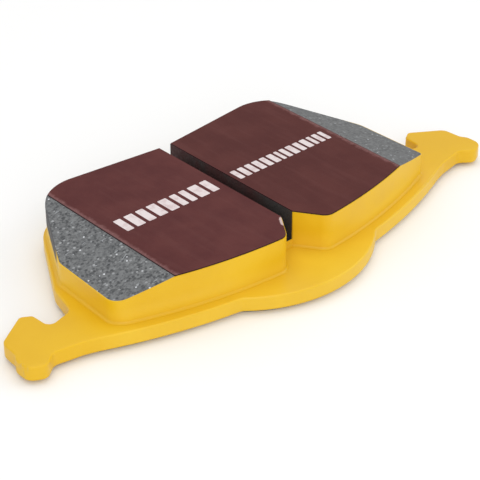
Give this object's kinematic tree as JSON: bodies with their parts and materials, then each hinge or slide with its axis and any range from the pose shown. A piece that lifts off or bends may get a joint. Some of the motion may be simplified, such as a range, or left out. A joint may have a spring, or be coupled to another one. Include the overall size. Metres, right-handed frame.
{
  "type": "disc brake pad",
  "caption": "Disc brake pad: steel backing plate with hooked ears and a lobe, slotted friction blocks with chamfered ends, break-in coating and rear noise shim.",
  "frame": {"origin": "on the shim's outer face, at the middle of the pad's length and depth", "axes": "+X along the pad from ear to ear, +Y towards the wheel's axis, +Z towards the disc"},
  "size_m": [0.158, 0.0701, 0.0154],
  "materials": {
    "plate_paint": "satin powder coat",
    "flank_paint": "satin powder coat",
    "bond_film": "matt",
    "underlayer": "matt pressed compound",
    "friction_compound": "matt speckled compound",
    "brake_in_coating": "matt abrasive coating",
    "shim_glue": "matt",
    "shim_rubber": "matt",
    "shim_steel": "cold rolled"
  },
  "bodies": {
    "root": {"backing_plate": "plate_paint", "flank_paint": "flank_paint", "bond_film": "bond_film", "underlayer": "underlayer", "friction_block_left": "friction_compound", "friction_block_right": "friction_compound", "brake_in_coating_left": "brake_in_coating", "brake_in_coating_right": "brake_in_coating", "shim_glue": "shim_glue", "shim_inner_rubber": "shim_rubber", "shim_steel_core": "shim_steel", "shim_outer_rubber": "shim_rubber"}
  },
  "joints": []
}
